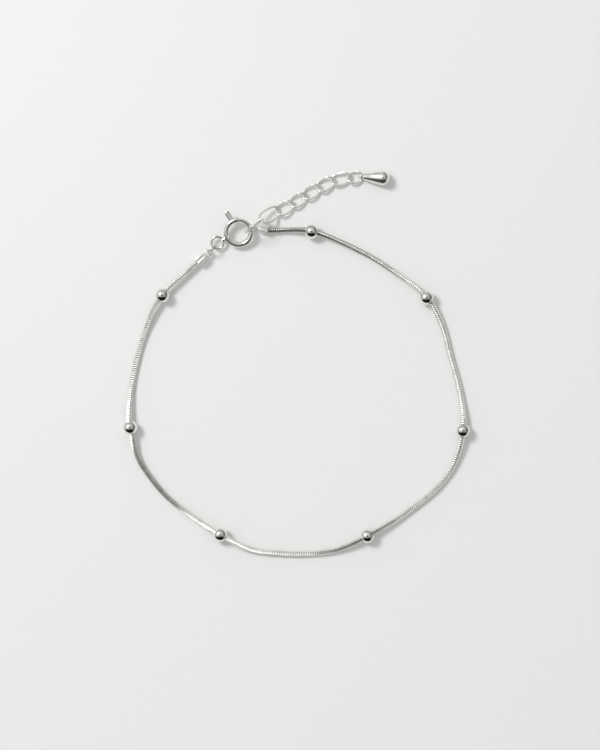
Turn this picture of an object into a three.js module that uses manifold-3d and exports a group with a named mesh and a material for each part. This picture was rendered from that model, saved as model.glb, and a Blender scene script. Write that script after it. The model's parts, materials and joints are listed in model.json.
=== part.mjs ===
// A fine silver bracelet, closed and lying flat on its back in an oval loop: a snake chain that
// runs through seven round beads, a folded end cap on each end of it, a spring ring clasp with a
// sliding tongue, and an extender of seven links with a blunt teardrop drop.
// Millimetres, +Z up. The origin is the middle of the whole bracelet's box, on the surface.

import * as THREE from 'three';
import { mergeVertices } from 'three/addons/utils/BufferGeometryUtils.js';
import Module from 'manifold-3d';

const wasm = await Module();
wasm.setup();

// ---------------------------------------------------------------------------------------------
// Driving dimensions
// ---------------------------------------------------------------------------------------------

// The layout below is measured from a point inside the loop. The origin lies here in that layout.
const ORIGIN = new THREE.Vector3(-0.59, 1.87, 0);

// Wire and rings: the sides of a wire's section, and the steps of a full turn or of a rounded end.
const WIRE_SIDES = 8;
const RING_STEPS = 28;
const EYE_STEPS = 20;
const END_STEPS = 4;

const CHAIN = { width: 0.9, sides: 8, stepsPerPoint: 2 };

// The bead's halfSpan is how far from its middle the chain leaves it.
const BEAD = { diameter: 2.4, bore: 1.36, halfSpan: 1.25, arcSteps: 10, sides: 14 };

// A cap is a strip folded over the chain's end, with its two long edges side by side on top.
// Towards its eye the cap narrows to a shoulder.
const CAP = {
  halfWidth: 0.7, depth: 0.65, ridgeHeight: 0.42, notchHeight: 0.66,
  start: 0.55, shoulder: 0.95, end: 2.3, frontHalfWidth: 0.22,
  bore: 1.2, boreStart: 1.1, boreSides: 12, eyeRadius: 0.5, eyeWire: 0.32,
};

const SMALL_RING = { x: -14.45, y: 20.69, z: 1.17, heading: 45, radius: 1.0, wire: 0.3 };
const JUMP_RING = { x: -7.43, y: 24.34, z: 2.46, heading: 36, radius: 1.85, wire: 0.36 };

// The clasp's hollow ring leans on the rings that it hangs in. Angles are counter-clockwise in
// its own plane, seen from above.
const CLASP = {
  x: -10.05, y: 23.32, z: 1.32, slopeX: 0.045, slopeY: 0.17,
  radius: 2.05, tube: 0.92, bore: 0.72, tongue: 0.62, degreesPerStep: 9, sides: 12, tongueSides: 10,
  tubeStart: 92, tubeEnd: 358, hollowEnd: 191, recessStart: 346, overrun: 6,
  slotStart: 108, slotEnd: 187, slotHeight: 0.5, slotReach: 2.8, slotSteps: 6,
  tongueStart: 1, tongueEnd: 131,
  triggerAngle: 120, triggerReach: 4.0, triggerWidth: 0.82, triggerThickness: 0.42,
  tailAngle: 206, tailOffset: 3.85, tailRadius: 0.98, tailWire: 0.44,
  neckWidth: 0.7, neckStart: 2.2, neckEnd: 2.95,
};

// A link is an oval with slightly square shoulders, twisted so that the next one lies flat in it.
const LINK = { wire: 0.42, twist: 0.3, squareness: 0.86, sides: 6, steps: 24 };

const DROP = {
  x: 10.07, y: 32.5, z: 0.6, heading: -5, pitch: 10,
  eyeRadius: 0.43, eyeWire: 0.3, start: 0.35,
  length: 4.3, bellyAt: 3.25, tipRadius: 0.54, bellyRadius: 1.22, tipBevel: 0.12,
  sides: 18, bellySteps: 6,
};

// Polished silver: the balls and the drop are the smoothest, the links of the chain the dullest.
const SILVER = 0xdcdcde;
const ROUGHNESS = { chain: 0.22, bead: 0.08, cap: 0.15, ring: 0.12, link: 0.15, drop: 0.06 };

// ---------------------------------------------------------------------------------------------
// Layout tables
// ---------------------------------------------------------------------------------------------

// Each bead rests on the surface. The heading is the chain's direction through it.
const BEADS = [
  { x: -22.54, y: 13.0, heading: 233 },
  { x: -27.79, y: -8.61, heading: 280 },
  { x: -13.05, y: -26.12, heading: 332 },
  { x: 11.0, y: -26.32, heading: 29 },
  { x: 26.62, y: -9.11, heading: 83 },
  { x: 20.67, y: 12.62, heading: 129 },
  { x: 1.89, y: 23.45, heading: 168 },
];

// The chain between the beads, from the left cap round to the right one: [x, y, height].
const STRETCHES = [
  [[-19.18, 16.29, 1.0]],
  [[-25.34, 7.22, 0.58], [-26.65, 2.87, 0.45], [-27.73, -2.54, 0.58]],
  [[-26.71, -13.3, 0.66], [-24.57, -16.77, 0.45], [-21.73, -20.06, 0.45], [-18.14, -22.91, 0.68]],
  [[-8.04, -28.58, 0.6], [-3.36, -29.2, 0.45], [1.23, -29.26, 0.45], [5.72, -28.7, 0.6]],
  [[15.86, -23.62, 0.64], [19.37, -21.1, 0.45], [22.68, -18.26, 0.45], [25.08, -14.8, 0.64]],
  [[26.55, -4.75, 0.64], [25.73, -0.8, 0.45], [24.61, 3.15, 0.45], [23.42, 7.56, 0.64]],
  [[15.86, 16.53, 0.6], [11.82, 19.19, 0.45], [7.38, 21.45, 0.6]],
  [[-2.46, 23.75, 0.6]],
];

// x, y, z is the middle of the cap's eye, and the heading runs from there to the chain.
const CAPS = [
  { name: 'end_cap_left', x: -15.16, y: 19.98, z: 1.0, heading: 222, eyeTurn: 0 },
  { name: 'end_cap_right', x: -7.43, y: 24.34, z: 0.68, heading: -15, eyeTurn: 90 },
];

// The chain's end stands in the cap, and these distances from the eye keep it straight there.
const CAP_CHAIN_POINTS = [1.15, 2.45];

// Half-sizes are those of the wire's middle line. The pitch lowers a link's far end, and the roll
// turns the link about its long axis. Each link hangs in the next with a little play.
const LINKS = [
  { x: -4.92, y: 26.09, z: 1.3, heading: 33, pitch: 25.4, roll: 5, halfLength: 1.88, halfWidth: 0.98 },
  { x: -2.5, y: 27.33, z: 0.56, heading: 31, pitch: 2, roll: -3, halfLength: 1.53, halfWidth: 0.94 },
  { x: -0.3, y: 28.65, z: 0.52, heading: 34, pitch: 0, roll: 0, halfLength: 1.53, halfWidth: 0.94 },
  { x: 1.94, y: 29.99, z: 0.53, heading: 34, pitch: 0, roll: 1, halfLength: 1.54, halfWidth: 0.94 },
  { x: 4.22, y: 31.24, z: 0.53, heading: 30, pitch: 0, roll: 0, halfLength: 1.53, halfWidth: 0.94 },
  { x: 6.67, y: 32.08, z: 0.52, heading: 15, pitch: -1, roll: 1, halfLength: 1.58, halfWidth: 0.93 },
  { x: 8.91, y: 32.35, z: 0.58, heading: 8, pitch: -1, roll: -5, halfLength: 1.16, halfWidth: 0.92 },
];

// ---------------------------------------------------------------------------------------------
// Shapes
// ---------------------------------------------------------------------------------------------

const radians = THREE.MathUtils.degToRad;

/** The level direction at an angle, in degrees, from +X. */
function direction(degrees) {
  return new THREE.Vector3(Math.cos(radians(degrees)), Math.sin(radians(degrees)), 0);
}

/** A route whose section never rolls: the section's x stays level and its y points up. */
class LevelRoute extends THREE.Curve {
  constructor(pointAt, lowest = -Infinity) {
    super();
    this.pointAt = pointAt;
    this.lowest = lowest;
  }

  getPoint(t, target = new THREE.Vector3()) {
    target.copy(this.pointAt(t));
    target.z = Math.max(target.z, this.lowest);
    return target;
  }

  getSpacedPoints(steps) {
    return this.getPoints(steps);
  }

  computeFrenetFrames(steps) {
    const frames = { tangents: [], normals: [], binormals: [] };
    for (let i = 0; i <= steps; i++) {
      const tangent = this.getTangent(i / steps);
      const normal = new THREE.Vector3(-tangent.y, tangent.x, 0).normalize();
      frames.tangents.push(tangent);
      frames.normals.push(normal);
      frames.binormals.push(new THREE.Vector3().crossVectors(tangent, normal));
    }
    return frames;
  }
}

/** A regular polygon that stands on a flat side, from its width across flats. */
function polygon(width, sides) {
  const reach = width / 2 / Math.cos(Math.PI / sides);
  const corners = [];
  for (let i = 0; i < sides; i++) {
    const angle = (i + 0.5) * 2 * Math.PI / sides;
    corners.push(new THREE.Vector2(reach * Math.sin(angle), -reach * Math.cos(angle)));
  }
  return new THREE.Shape(corners);
}

/** A rod of polygonal section along a route. */
function rodAlong(route, width, sides, steps) {
  const options = { steps, bevelEnabled: false, extrudePath: route };
  return new THREE.ExtrudeGeometry(polygon(width, sides), options);
}

/** A rod along an arc round the origin, in the XY plane. */
function arcRod(radius, start, end, width, sides) {
  const route = new LevelRoute(t => direction(start + (end - start) * t).multiplyScalar(radius));
  return rodAlong(route, width, sides, Math.ceil((end - start) / CLASP.degreesPerStep));
}

/** A cosine or sine drawn out towards its ends, for an oval with squarer shoulders. */
function squared(value) {
  return Math.sign(value) * Math.abs(value) ** LINK.squareness;
}

/** An oval wire ring whose middle line rises and falls twice as it goes round. */
function twistedRing(halfLength, halfWidth) {
  const ring = new THREE.TorusGeometry(1, LINK.wire / 2, LINK.sides, LINK.steps);
  const corners = ring.attributes.position;
  for (let i = 0; i < corners.count; i++) {
    const angle = Math.atan2(corners.getY(i), corners.getX(i));
    const offset = Math.hypot(corners.getX(i), corners.getY(i)) - 1;
    const outward = new THREE.Vector2(halfWidth * Math.cos(angle), halfLength * Math.sin(angle));
    outward.normalize().multiplyScalar(offset);
    corners.setXYZ(
      i,
      halfLength * squared(Math.cos(angle)) + outward.x,
      halfWidth * squared(Math.sin(angle)) + outward.y,
      corners.getZ(i) + LINK.twist * Math.sin(2 * angle),
    );
  }
  return ring;
}

/** Turns a closed geometry into a solid that can be joined and cut. */
function toSolid(geometry) {
  geometry.deleteAttribute('normal');
  geometry.deleteAttribute('uv');
  const merged = mergeVertices(geometry);
  const triangles = [];
  for (let i = 0; i < merged.index.count; i += 3) {
    const [a, b, c] = merged.index.array.slice(i, i + 3);
    if (a !== b && b !== c && c !== a) triangles.push(a, b, c);
  }
  return new wasm.Manifold(new wasm.Mesh({
    numProp: 3,
    vertProperties: new Float32Array(merged.attributes.position.array),
    triVerts: new Uint32Array(triangles),
  }));
}

/** Turns a solid back into a geometry. */
function toGeometry(solid) {
  const { vertProperties, triVerts } = solid.getMesh();
  const geometry = new THREE.BufferGeometry();
  geometry.setAttribute('position', new THREE.BufferAttribute(vertProperties, 3));
  geometry.setIndex(new THREE.BufferAttribute(triVerts, 1));
  geometry.computeVertexNormals();
  return geometry;
}

/** Turns a shape pushed along +Z so that it runs along +X, with the shape's y upwards. */
function alongX(geometry) {
  const [x, y, z] = [[1, 0, 0], [0, 1, 0], [0, 0, 1]].map(axis => new THREE.Vector3(...axis));
  return geometry.applyMatrix4(new THREE.Matrix4().makeBasis(y, z, x));
}

/** A named piece of polished silver, with a material of its own. */
function silverPiece(name, geometry, roughness) {
  const material = new THREE.MeshStandardMaterial({ color: SILVER, metalness: 1, roughness });
  const piece = new THREE.Mesh(geometry, material);
  piece.name = name;
  return piece;
}

/** A small closed eye of wire round the origin, in the XY plane. */
function eyeRing(radius, wire) {
  return new THREE.TorusGeometry(radius, wire / 2, WIRE_SIDES, EYE_STEPS);
}

// ---------------------------------------------------------------------------------------------
// Pieces
// ---------------------------------------------------------------------------------------------

/** Every point of the chain's route, in order. */
function chainPoints() {
  const capPoints = cap => CAP_CHAIN_POINTS.map(distance =>
    direction(cap.heading).multiplyScalar(distance).add(new THREE.Vector3(cap.x, cap.y, cap.z)));
  const [left, right] = CAPS;
  const points = capPoints(left);
  STRETCHES.forEach((stretch, i) => {
    points.push(...stretch.map(([x, y, z]) => new THREE.Vector3(x, y, z)));
    if (i === BEADS.length) return;
    const middle = new THREE.Vector3(BEADS[i].x, BEADS[i].y, BEAD.diameter / 2);
    for (const side of [-1, 1]) {
      const step = direction(BEADS[i].heading).multiplyScalar(side * BEAD.halfSpan);
      points.push(middle.clone().add(step));
    }
  });
  points.push(...capPoints(right).reverse());
  return points;
}

/** The snake chain: one smooth rod that lies on the surface between the beads. */
function makeChain() {
  const points = chainPoints();
  const curve = new THREE.CatmullRomCurve3(points);
  const route = new LevelRoute(t => curve.getPoint(t), CHAIN.width / 2);
  const steps = CHAIN.stepsPerPoint * (points.length - 1);
  const rod = rodAlong(route, CHAIN.width, CHAIN.sides, steps);
  return silverPiece('snake_chain', rod, ROUGHNESS.chain);
}

/** A ball drilled right through, with the chain's clearance in the hole. */
function makeBead(bead, number) {
  const radius = BEAD.diameter / 2;
  const edge = Math.acos(BEAD.bore / BEAD.diameter);
  const profile = [];
  for (let i = 0; i <= BEAD.arcSteps; i++) {
    const angle = edge * (2 * i / BEAD.arcSteps - 1);
    profile.push(new THREE.Vector2(radius * Math.cos(angle), radius * Math.sin(angle)));
  }
  profile.push(profile[0].clone());
  const ball = new THREE.LatheGeometry(profile, BEAD.sides);
  const mesh = silverPiece(`bead_${number}`, ball, ROUGHNESS.bead);
  mesh.quaternion.setFromUnitVectors(new THREE.Vector3(0, 1, 0), direction(bead.heading));
  mesh.position.set(bead.x, bead.y, radius);
  return mesh;
}

/** The folded strip's outline, looking along the chain: a round back and two ridges on top. */
function capOutline() {
  const ridge = CAP.halfWidth / 2;
  const notch = Math.PI - Math.asin((CAP.notchHeight - CAP.ridgeHeight) / ridge);
  const outline = new THREE.Shape();
  outline.absellipse(0, 0, CAP.halfWidth, CAP.depth, Math.PI, 2 * Math.PI, false, 0);
  outline.absarc(ridge, CAP.ridgeHeight, ridge, 0, notch, false);
  outline.absarc(-ridge, CAP.ridgeHeight, ridge, Math.PI - notch, Math.PI, false);
  return outline;
}

/** The folded strip's outline from above: it narrows to a shoulder in front. */
function capPlan() {
  const { start, shoulder, end, halfWidth, frontHalfWidth } = CAP;
  return new THREE.Shape([
    new THREE.Vector2(start, -frontHalfWidth),
    new THREE.Vector2(shoulder, -halfWidth),
    new THREE.Vector2(end, -halfWidth),
    new THREE.Vector2(end, halfWidth),
    new THREE.Vector2(shoulder, halfWidth),
    new THREE.Vector2(start, frontHalfWidth),
  ]);
}

/** A crimped end cap: folded body, blind bore for the chain, and an eye in front. */
function makeCap(cap) {
  const length = CAP.end - CAP.start;
  const fold = { depth: length, bevelEnabled: false, curveSegments: END_STEPS };
  const body = alongX(new THREE.ExtrudeGeometry(capOutline(), fold)).translate(CAP.start, 0, 0);
  const block = { depth: 4 * CAP.depth, bevelEnabled: false };
  const plan = new THREE.ExtrudeGeometry(capPlan(), block).translate(0, 0, -2 * CAP.depth);
  const bore = new THREE.CylinderGeometry(CAP.bore / 2, CAP.bore / 2, 2 * length, CAP.boreSides);
  bore.rotateZ(Math.PI / 2).translate(CAP.boreStart + length, 0, 0);
  const eye = eyeRing(CAP.eyeRadius, CAP.eyeWire);
  const solid = toSolid(body)
    .intersect(toSolid(plan))
    .add(toSolid(eye.rotateX(radians(cap.eyeTurn))))
    .subtract(toSolid(bore));
  const mesh = silverPiece(cap.name, toGeometry(solid), ROUGHNESS.cap);
  mesh.position.set(cap.x, cap.y, cap.z);
  mesh.rotation.z = radians(cap.heading);
  return mesh;
}

/** A plain round ring that stands upright in the direction of its heading. */
function makeStandingRing(name, ring) {
  const geometry = new THREE.TorusGeometry(ring.radius, ring.wire / 2, WIRE_SIDES, RING_STEPS);
  const mesh = silverPiece(name, geometry.rotateX(Math.PI / 2), ROUGHNESS.ring);
  mesh.position.set(ring.x, ring.y, ring.z);
  mesh.rotation.z = radians(ring.heading);
  return mesh;
}

/** The clasp's ring: a tube with the tongue's channel and slot, and its soldered tail loop. */
function makeSpringRing() {
  const { radius, bore, sides, overrun } = CLASP;
  const tube = toSolid(arcRod(radius, CLASP.tubeStart, CLASP.tubeEnd, CLASP.tube, sides));
  const channel = arcRod(radius, CLASP.tubeStart - overrun, CLASP.hollowEnd, bore, sides);
  const recess = arcRod(radius, CLASP.recessStart, CLASP.tubeEnd + overrun, bore, sides);
  const slot = new THREE.Shape();
  const slotFrom = radians(CLASP.slotStart);
  const slotTo = radians(CLASP.slotEnd);
  slot.absarc(0, 0, CLASP.slotReach, slotFrom, slotTo, false);
  slot.absarc(0, 0, radius, slotTo, slotFrom, true);
  const slotCut = { depth: CLASP.slotHeight, bevelEnabled: false, curveSegments: CLASP.slotSteps };
  const slotSolid = new THREE.ExtrudeGeometry(slot, slotCut).translate(0, 0, -CLASP.slotHeight / 2);
  const tail = new THREE.TorusGeometry(CLASP.tailRadius, CLASP.tailWire / 2, WIRE_SIDES, RING_STEPS);
  const neckLength = CLASP.neckEnd - CLASP.neckStart;
  const neckRadius = CLASP.neckWidth / 2;
  const neck = new THREE.CylinderGeometry(neckRadius, neckRadius, neckLength, WIRE_SIDES);
  neck.rotateZ(Math.PI / 2).translate(CLASP.neckStart + neckLength / 2, 0, 0);
  const tailTurn = radians(CLASP.tailAngle);
  const solid = tube
    .subtract(toSolid(channel))
    .subtract(toSolid(recess))
    .subtract(toSolid(slotSolid))
    .add(toSolid(neck.rotateZ(tailTurn)))
    .add(toSolid(tail.translate(CLASP.tailOffset, 0, 0).rotateZ(tailTurn)));
  return silverPiece('spring_ring', toGeometry(solid), ROUGHNESS.ring);
}

/** The curved tongue that closes the clasp, with the round-ended trigger that draws it back. */
function makeTongue() {
  const { radius, tongueStart, tongueEnd, tongueSides } = CLASP;
  const rod = arcRod(radius, tongueStart, tongueEnd, CLASP.tongue, tongueSides);
  const half = CLASP.triggerWidth / 2;
  const outline = new THREE.Shape();
  outline.moveTo(radius, -half);
  outline.absarc(CLASP.triggerReach - half, 0, half, -Math.PI / 2, Math.PI / 2, false);
  outline.lineTo(radius, half);
  const plate = { depth: CLASP.triggerThickness, bevelEnabled: false, curveSegments: END_STEPS };
  const trigger = new THREE.ExtrudeGeometry(outline, plate);
  trigger.translate(0, 0, -CLASP.triggerThickness / 2).rotateZ(radians(CLASP.triggerAngle));
  const solid = toSolid(rod).add(toSolid(trigger));
  return silverPiece('clasp_tongue', toGeometry(solid), ROUGHNESS.ring);
}

/** The clasp's two pieces in their shared, slightly leaning plane. */
function makeClasp() {
  const clasp = new THREE.Group();
  clasp.add(makeSpringRing(), makeTongue());
  const up = new THREE.Vector3(-CLASP.slopeX, -CLASP.slopeY, 1).normalize();
  clasp.quaternion.setFromUnitVectors(new THREE.Vector3(0, 0, 1), up);
  clasp.position.set(CLASP.x, CLASP.y, CLASP.z);
  return clasp;
}

/** One curb-like link of the extender. */
function makeLink(link, number) {
  const ring = twistedRing(link.halfLength, link.halfWidth);
  const mesh = silverPiece(`extender_link_${number}`, ring, ROUGHNESS.link);
  mesh.position.set(link.x, link.y, link.z);
  mesh.rotation.set(radians(link.roll), radians(link.pitch), radians(link.heading), 'ZYX');
  return mesh;
}

/** The blunt teardrop, turned from its narrow end to its round one, with an upright eye. */
function makeDrop() {
  const { tipRadius, tipBevel, bellyRadius, bellyAt, bellySteps, length } = DROP;
  const profile = [
    new THREE.Vector2(0, 0),
    new THREE.Vector2(tipRadius - tipBevel, 0),
    new THREE.Vector2(tipRadius, tipBevel),
  ];
  for (let i = 0; i <= bellySteps; i++) {
    const angle = Math.PI / 2 * i / bellySteps;
    const radius = i === bellySteps ? 0 : bellyRadius * Math.cos(angle);
    profile.push(new THREE.Vector2(radius, bellyAt + (length - bellyAt) * Math.sin(angle)));
  }
  const body = new THREE.LatheGeometry(profile, DROP.sides);
  body.rotateZ(-Math.PI / 2).translate(DROP.start, 0, 0);
  const eye = eyeRing(DROP.eyeRadius, DROP.eyeWire);
  const solid = toSolid(body).add(toSolid(eye.rotateX(Math.PI / 2)));
  const mesh = silverPiece('drop', toGeometry(solid), ROUGHNESS.drop);
  mesh.position.set(DROP.x, DROP.y, DROP.z);
  mesh.rotation.set(0, -radians(DROP.pitch), radians(DROP.heading), 'ZYX');
  return mesh;
}

// ---------------------------------------------------------------------------------------------
// Assembly
// ---------------------------------------------------------------------------------------------

const bracelet = new THREE.Group();
bracelet.position.copy(ORIGIN).negate();
bracelet.add(makeChain());
BEADS.forEach((bead, i) => bracelet.add(makeBead(bead, i + 1)));
CAPS.forEach(cap => bracelet.add(makeCap(cap)));
bracelet.add(makeStandingRing('small_ring', SMALL_RING));
bracelet.add(makeStandingRing('jump_ring', JUMP_RING));
bracelet.add(makeClasp());
LINKS.forEach((link, i) => bracelet.add(makeLink(link, i + 1)));
bracelet.add(makeDrop());

export default bracelet;
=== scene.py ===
"""Dresses a snake chain bracelet in polished silver, on a pale table under a soft window light."""

import json
import logging
import math
from dataclasses import dataclass, field
from enum import Enum
from typing import Callable, Optional, Sequence, Union

import bmesh
import bpy
import numpy as np
from bpy.types import (
    ID, GeometryNodeTree, Light, Material, Mesh, Node, NodeSocket, NodeTree, Object, World,
)
from mathutils import Matrix, Vector


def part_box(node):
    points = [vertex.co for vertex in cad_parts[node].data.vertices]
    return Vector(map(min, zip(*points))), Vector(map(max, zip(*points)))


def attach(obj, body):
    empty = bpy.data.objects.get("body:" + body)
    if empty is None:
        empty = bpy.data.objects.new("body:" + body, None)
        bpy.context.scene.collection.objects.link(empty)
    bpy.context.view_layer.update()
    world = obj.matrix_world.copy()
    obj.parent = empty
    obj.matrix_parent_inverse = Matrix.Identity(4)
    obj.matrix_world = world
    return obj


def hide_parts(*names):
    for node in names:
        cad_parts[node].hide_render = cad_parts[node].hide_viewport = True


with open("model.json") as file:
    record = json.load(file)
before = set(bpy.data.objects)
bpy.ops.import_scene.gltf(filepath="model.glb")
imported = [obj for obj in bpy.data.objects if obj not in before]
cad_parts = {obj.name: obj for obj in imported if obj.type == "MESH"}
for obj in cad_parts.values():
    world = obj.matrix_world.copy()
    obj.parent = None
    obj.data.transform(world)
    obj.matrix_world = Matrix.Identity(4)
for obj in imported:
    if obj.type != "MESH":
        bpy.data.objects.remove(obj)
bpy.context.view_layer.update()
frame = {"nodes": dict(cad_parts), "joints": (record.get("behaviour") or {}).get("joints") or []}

LOG = logging.getLogger("bracelet")

Pair = tuple[float, float]

MM = 0.001
# The middle of the layout that the places below are measured from.
ORIGIN = Vector((-0.59, 1.87, 0.0))
# Corners closer than this are one corner.
MERGE_GAP = 0.0002 * MM
# Edges that turn by more degrees than this stay crisp, unless a piece says otherwise.
CREASE = 35.0
FULL_TURN = 360.0
# Corners are told apart by this many decimals of a metre.
DECIMALS = 8


class Body(Enum):
    """The bodies that a piece can ride on."""

    BRACELET = "bracelet"
    TONGUE = "clasp_tongue"


class Slot(Enum):
    """The record's material slots."""

    CHAIN = "silver_snake_chain"
    BEADS = "silver_beads"
    FINDINGS = "silver_findings"
    DROP = "silver_drop"


class Join(Enum):
    """How two solids are put together."""

    ADD = "UNION"
    CUT = "DIFFERENCE"
    KEEP = "INTERSECT"


# ---- Places ----


@dataclass(frozen=True)
class Place:
    """Where a piece lies: a point of the layout in millimetres, and its turns in degrees."""

    x: float
    y: float
    z: float
    heading: float = 0.0
    pitch: float = 0.0

    def point(self) -> Vector:
        """The point in the shared frame, in metres."""
        return (Vector((self.x, self.y, self.z)) - ORIGIN) * MM

    def matrix(self) -> Matrix:
        """Finds the piece's own axes in the shared frame.

        Returns:
            The axes, with X along the heading.
        """
        heading = Matrix.Rotation(math.radians(self.heading), 4, "Z")
        pitch = Matrix.Rotation(math.radians(self.pitch), 4, "Y")
        return Matrix.Translation(self.point()) @ (heading @ pitch)


def middle(node: str) -> Vector:
    """The middle of a CAD node's box.

    Args:
        node: The node's name.

    Returns:
        The point in the shared frame.
    """
    low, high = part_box(node)
    return (low + high) / 2


def main_axes(node: str) -> tuple[Matrix, Vector]:
    """Finds how a CAD node lies from the spread of its corners.

    Args:
        node: The node's name.

    Returns:
        Its axes, the longest first as X and the shortest last as Z, and its half-sizes along them.
    """
    corners = np.array([v.co for v in frame["nodes"][node].data.vertices])
    corners = np.unique(np.round(corners, DECIMALS), axis=0)
    centre = (corners.max(axis=0) + corners.min(axis=0)) / 2
    _, axes = np.linalg.eigh(np.cov((corners - corners.mean(axis=0)).T))
    axes = axes[:, ::-1]
    if np.linalg.det(axes) < 0:
        axes[:, 1] *= -1
    spread = np.abs((corners - centre) @ axes).max(axis=0)
    lie = Matrix(axes.tolist()).to_4x4()
    return Matrix.Translation(Vector(centre)) @ lie, Vector(spread)


# ---- Meshes ----


@dataclass
class Shell:
    """A closed surface as corners and faces."""

    corners: list[Vector] = field(default_factory=list)
    faces: list[tuple[int, ...]] = field(default_factory=list)

    def placed(self, matrix: Matrix) -> "Shell":
        """The same surface moved by a matrix."""
        return Shell([matrix @ corner for corner in self.corners], list(self.faces))

    def plus(self, other: "Shell") -> "Shell":
        """Puts another surface beside this one.

        Args:
            other: The other surface.

        Returns:
            Both as one shell.
        """
        start = len(self.corners)
        moved = [tuple(start + index for index in face) for face in other.faces]
        return Shell(self.corners + other.corners, self.faces + moved)

    def piece(self, name: str, sharp: float = CREASE) -> Object:
        """Makes an object of the surface, with its doubles merged and its faces outwards.

        Args:
            name: The object's name.
            sharp: Edges that turn by more degrees than this stay crisp.

        Returns:
            The object, linked to the scene.
        """
        mesh = bpy.data.meshes.new(name)
        mesh.from_pydata([tuple(corner) for corner in self.corners], [], self.faces)
        tidy(mesh)
        shade(mesh, sharp)
        return new_object(name, mesh)


def new_object(name: str, data: ID) -> Object:
    """Makes an object and links it to the scene.

    Args:
        name: Its name.
        data: Its mesh, light or camera.

    Returns:
        The object.
    """
    made = bpy.data.objects.new(name, data)
    bpy.context.scene.collection.objects.link(made)
    return made


def tidy(mesh: Mesh) -> None:
    """Merges a closed mesh's double corners and turns its faces outwards.

    Args:
        mesh: The mesh to tidy.
    """
    work = bmesh.new()
    work.from_mesh(mesh)
    bmesh.ops.remove_doubles(work, verts=work.verts, dist=MERGE_GAP)
    bmesh.ops.dissolve_degenerate(work, edges=work.edges, dist=MERGE_GAP)
    bmesh.ops.recalc_face_normals(work, faces=work.faces)
    work.to_mesh(mesh)
    work.free()


def shade(mesh: Mesh, sharp: float = CREASE) -> None:
    """Shades a mesh smooth, apart from its sharp edges.

    Args:
        mesh: The mesh to shade.
        sharp: Edges that turn by more degrees than this stay crisp.
    """
    mesh.polygons.foreach_set("use_smooth", [True] * len(mesh.polygons))
    mesh.set_sharp_from_angle(angle=math.radians(sharp))


def loft(rings: Sequence[Sequence[Vector]], closed: bool) -> Shell:
    """Joins rings of corners into a skin.

    Args:
        rings: The rings in order, each with the same number of corners.
        closed: Whether the last ring meets the first. Otherwise both ends get a face.

    Returns:
        The skin.
    """
    sides = len(rings[0])
    corners = [corner for ring in rings for corner in ring]
    faces: list[tuple[int, ...]] = []
    for i in range(len(rings) if closed else len(rings) - 1):
        this, following = i * sides, (i + 1) % len(rings) * sides
        for j in range(sides):
            k = (j + 1) % sides
            faces.append((this + j, this + k, following + k, following + j))
    if not closed:
        faces.append(tuple(reversed(range(sides))))
        faces.append(tuple(range(len(corners) - sides, len(corners))))
    return Shell(corners, faces)


def revolve(profile: Sequence[Pair], sides: int, closed: bool = False) -> Shell:
    """Turns a profile about the X axis.

    Args:
        profile: Points as (distance along X, radius), in metres.
        sides: How many steps go round.
        closed: Whether the profile closes on itself, as a bored ball's does.

    Returns:
        The turned surface.
    """
    rings = []
    for i in range(sides):
        turn = 2 * math.pi * i / sides
        rings.append([Vector((x, r * math.cos(turn), r * math.sin(turn))) for x, r in profile])
    skin = loft(rings, closed=True)
    if not closed:
        seam = len(profile) - 1
        skin.faces = [face for face in skin.faces if face[0] % len(profile) != seam]
    return skin


def wire(
    spine: Callable[[float], Vector],
    radius: float,
    steps: int,
    sides: int,
    closed: bool,
    dome: float = 0.0,
) -> Shell:
    """Draws a round wire along a line.

    Args:
        spine: The middle line, as a point for each share of its length from 0 to 1.
        radius: The wire's radius in metres.
        steps: How many rings the wire has along the line.
        sides: How many corners go round it.
        closed: Whether the line meets itself.
        dome: How far the rounding of each end reaches, in metres.

    Returns:
        The wire's skin.
    """
    # The share of the line on either side that its direction is measured over.
    nudge = 1e-4
    up = Vector((0, 0, 1))
    section = bow((0.0, 0.0), (radius, radius), (0.0, FULL_TURN), sides)[:-1]
    rings = []
    for i in range(steps if closed else steps + 1):
        share = i / steps
        point = spine(share)
        ahead = (spine(share + nudge) - spine(share - nudge)).normalized()
        side = up.cross(ahead).normalized()
        rise = ahead.cross(side)
        rings.append([point + side * y + rise * z for y, z in section])
    if dome > 0 and not closed:
        first = rounded_end(rings[0], rings[1], dome)
        last = rounded_end(rings[-1], rings[-2], dome)
        rings = first + rings[1:-1] + last[::-1]
    return loft(rings, closed)


def rounded_end(
    ring: list[Vector], inner: list[Vector], dome: float, steps: int = 5,
) -> list[list[Vector]]:
    """Rounds off the end of a row of rings.

    Args:
        ring: The ring at the end.
        inner: The ring next to it.
        dome: How far the rounding goes in along the row, in metres.
        steps: How many steps the rounding takes.

    Returns:
        The rings that take the end's place, from the tip inwards.
    """
    centre = sum(ring, Vector()) / len(ring)
    inward = (sum(inner, Vector()) / len(inner) - centre).normalized()
    narrowing = dome / (ring[0] - centre).length
    made = []
    for i in range(steps + 1):
        turn = math.pi / 2 * i / steps
        scale = 1 - narrowing * (1 - math.sin(turn))
        shift = inward * dome * (1 - math.cos(turn))
        made.append([centre + (corner - centre) * scale + shift for corner in ring])
    return made


def arc(radius: float, start: float, end: float) -> Callable[[float], Vector]:
    """A line round the origin in the XY plane.

    Args:
        radius: Its radius in metres.
        start: Where it starts, in degrees.
        end: Where it ends, in degrees.

    Returns:
        The line, as a point for each share of its length.
    """

    def point(share: float) -> Vector:
        """The line's point at a share of its length."""
        turn = math.radians(start + (end - start) * share)
        return Vector((math.cos(turn), math.sin(turn), 0)) * radius

    return point


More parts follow.
